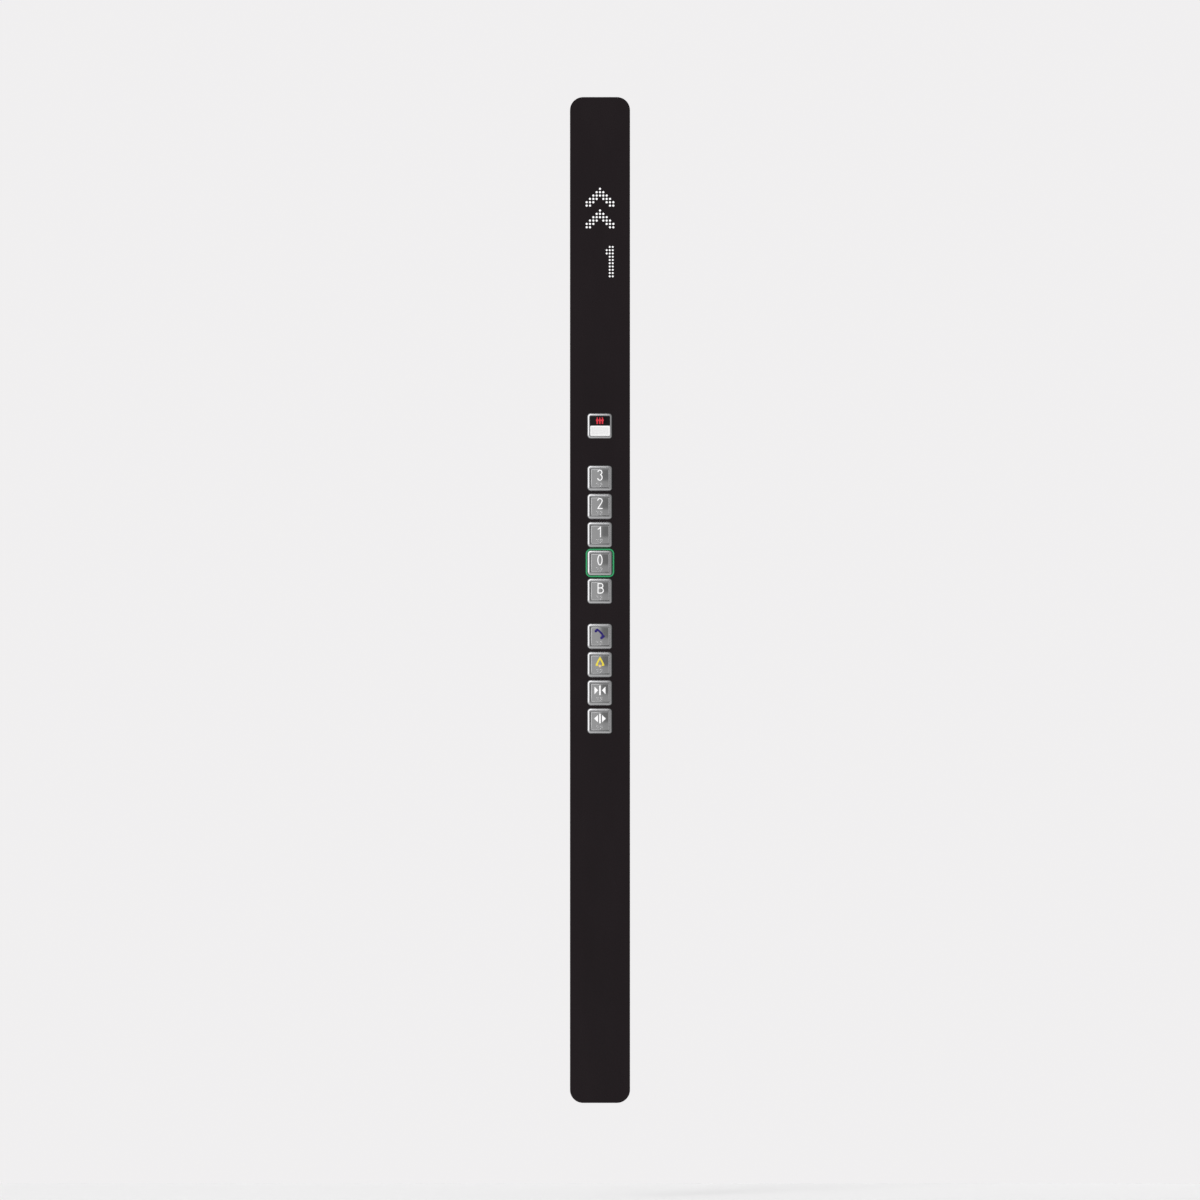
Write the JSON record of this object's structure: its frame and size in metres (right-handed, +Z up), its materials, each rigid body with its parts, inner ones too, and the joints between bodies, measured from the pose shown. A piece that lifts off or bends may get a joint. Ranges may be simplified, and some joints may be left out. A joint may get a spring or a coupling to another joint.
{
  "type": "elevator car operating panel",
  "caption": "Slim surface-mounted lift car panel: hinged black faceplate on a steel wall tray, column of square push buttons, dot display and indicator.",
  "frame": {"origin": "middle of the wall screw pattern, on the wall face", "axes": "+X to the right seen from the car, +Y into the wall, +Z up; the front faces -Y"},
  "size_m": [0.085, 0.0353, 1.425],
  "materials": {
    "faceplate": "polished black acrylic sheet with a clear-cut bevelled edge",
    "tray_steel": "zinc plated sheet steel",
    "hinge_steel": "plain steel",
    "lock_steel": "nickel plated",
    "bezel_steel": "polished stainless steel",
    "cap_steel": "satin stainless steel, finely brushed",
    "spring_steel": "bright spring wire",
    "collar_green": "moulded green plastic",
    "window_dark": "smoked acrylic",
    "lens_white": "opal acrylic",
    "led_white": "clear resin lenses, lit",
    "housing_black": "moulded black plastic",
    "switch_black": "moulded black plastic",
    "plunger_white": "translucent white plastic",
    "board_green": "glass fibre circuit board with green solder mask",
    "terminal_green": "moulded green plastic",
    "ribbon_grey": "flat cable insulation",
    "speaker_black": "moulded frame with a steel magnet cover",
    "brass": "brass",
    "rubber": "black rubber",
    "legend_white": "white enamel inlay",
    "legend_blue": "indigo enamel inlay",
    "legend_yellow": "yellow enamel inlay",
    "legend_red": "red print behind the window"
  },
  "bodies": {
    "tray": {"tray_back": "tray_steel", "tray_sides": "tray_steel", "tray_ends": "tray_steel", "cable_grommet": "rubber", "earth_stud": "brass", "hinge_tray_leaves": "hinge_steel", "hinge_pins": "hinge_steel", "lock_keeper": "tray_steel"},
    "front": {"faceplate": "faceplate", "carrier_plate": "tray_steel", "carrier_flanges": "tray_steel", "hinge_front_leaves": "hinge_steel", "lock_barrel": "lock_steel", "button_bezels": "bezel_steel", "exit_floor_collar": "collar_green", "button_housings": "housing_black", "push_switches": "switch_black", "indicator_bezel": "bezel_steel", "indicator_window": "window_dark", "indicator_lens": "lens_white", "indicator_housing": "housing_black", "led_matrix_blocks": "housing_black", "display_leds": "led_white", "front_boards": "board_green", "controller_board": "board_green", "controller_parts": "switch_black", "terminal_block": "terminal_green", "board_connectors": "switch_black", "board_spacers": "brass", "ribbon_cables": "ribbon_grey", "speaker": "speaker_black", "microphone": "lock_steel", "spring_3": "spring_steel", "spring_2": "spring_steel", "spring_1": "spring_steel", "spring_0": "spring_steel", "spring_b": "spring_steel", "spring_call": "spring_steel", "spring_alarm": "spring_steel", "spring_close": "spring_steel", "spring_open": "spring_steel"},
    "lock": {"lock_cam": "lock_steel"},
    "button_3": {"cap_3": "cap_steel", "plunger_3": "plunger_white"},
    "button_2": {"cap_2": "cap_steel", "plunger_2": "plunger_white"},
    "button_1": {"cap_1": "cap_steel", "plunger_1": "plunger_white"},
    "button_0": {"cap_0": "cap_steel", "plunger_0": "plunger_white"},
    "button_b": {"cap_b": "cap_steel", "plunger_b": "plunger_white"},
    "button_call": {"cap_call": "cap_steel", "plunger_call": "plunger_white"},
    "button_alarm": {"cap_alarm": "cap_steel", "plunger_alarm": "plunger_white"},
    "button_close": {"cap_close": "cap_steel", "plunger_close": "plunger_white"},
    "button_open": {"cap_open": "cap_steel", "plunger_open": "plunger_white"}
  },
  "joints": [
    {"name": "front_hinge", "type": "hinge", "parent": "tray", "child": "front", "pos_m": [-0.0403, -0.0269, 0], "axis": [0, 0, -1], "range_deg": [0, 100]},
    {"name": "lock_turn", "type": "hinge", "parent": "front", "child": "lock", "pos_m": [0.0185, -0.02, -0.6927], "axis": [0, 0, -1], "range_deg": [0, 90]},
    {"name": "press_3", "type": "slide", "parent": "front", "child": "button_3", "axis": [0, 1, 0], "range_m": [0, 0.0015], "stiffness_N_per_m": 300, "springref_m": -0.005, "deforming": ["spring_3"]},
    {"name": "press_2", "type": "slide", "parent": "front", "child": "button_2", "axis": [0, 1, 0], "range_m": [0, 0.0015], "stiffness_N_per_m": 300, "springref_m": -0.005, "deforming": ["spring_2"]},
    {"name": "press_1", "type": "slide", "parent": "front", "child": "button_1", "axis": [0, 1, 0], "range_m": [0, 0.0015], "stiffness_N_per_m": 300, "springref_m": -0.005, "deforming": ["spring_1"]},
    {"name": "press_0", "type": "slide", "parent": "front", "child": "button_0", "axis": [0, 1, 0], "range_m": [0, 0.0015], "stiffness_N_per_m": 300, "springref_m": -0.005, "deforming": ["spring_0"]},
    {"name": "press_b", "type": "slide", "parent": "front", "child": "button_b", "axis": [0, 1, 0], "range_m": [0, 0.0015], "stiffness_N_per_m": 300, "springref_m": -0.005, "deforming": ["spring_b"]},
    {"name": "press_call", "type": "slide", "parent": "front", "child": "button_call", "axis": [0, 1, 0], "range_m": [0, 0.0015], "stiffness_N_per_m": 300, "springref_m": -0.005, "deforming": ["spring_call"]},
    {"name": "press_alarm", "type": "slide", "parent": "front", "child": "button_alarm", "axis": [0, 1, 0], "range_m": [0, 0.0015], "stiffness_N_per_m": 300, "springref_m": -0.005, "deforming": ["spring_alarm"]},
    {"name": "press_close", "type": "slide", "parent": "front", "child": "button_close", "axis": [0, 1, 0], "range_m": [0, 0.0015], "stiffness_N_per_m": 300, "springref_m": -0.005, "deforming": ["spring_close"]},
    {"name": "press_open", "type": "slide", "parent": "front", "child": "button_open", "axis": [0, 1, 0], "range_m": [0, 0.0015], "stiffness_N_per_m": 300, "springref_m": -0.005, "deforming": ["spring_open"]}
  ]
}
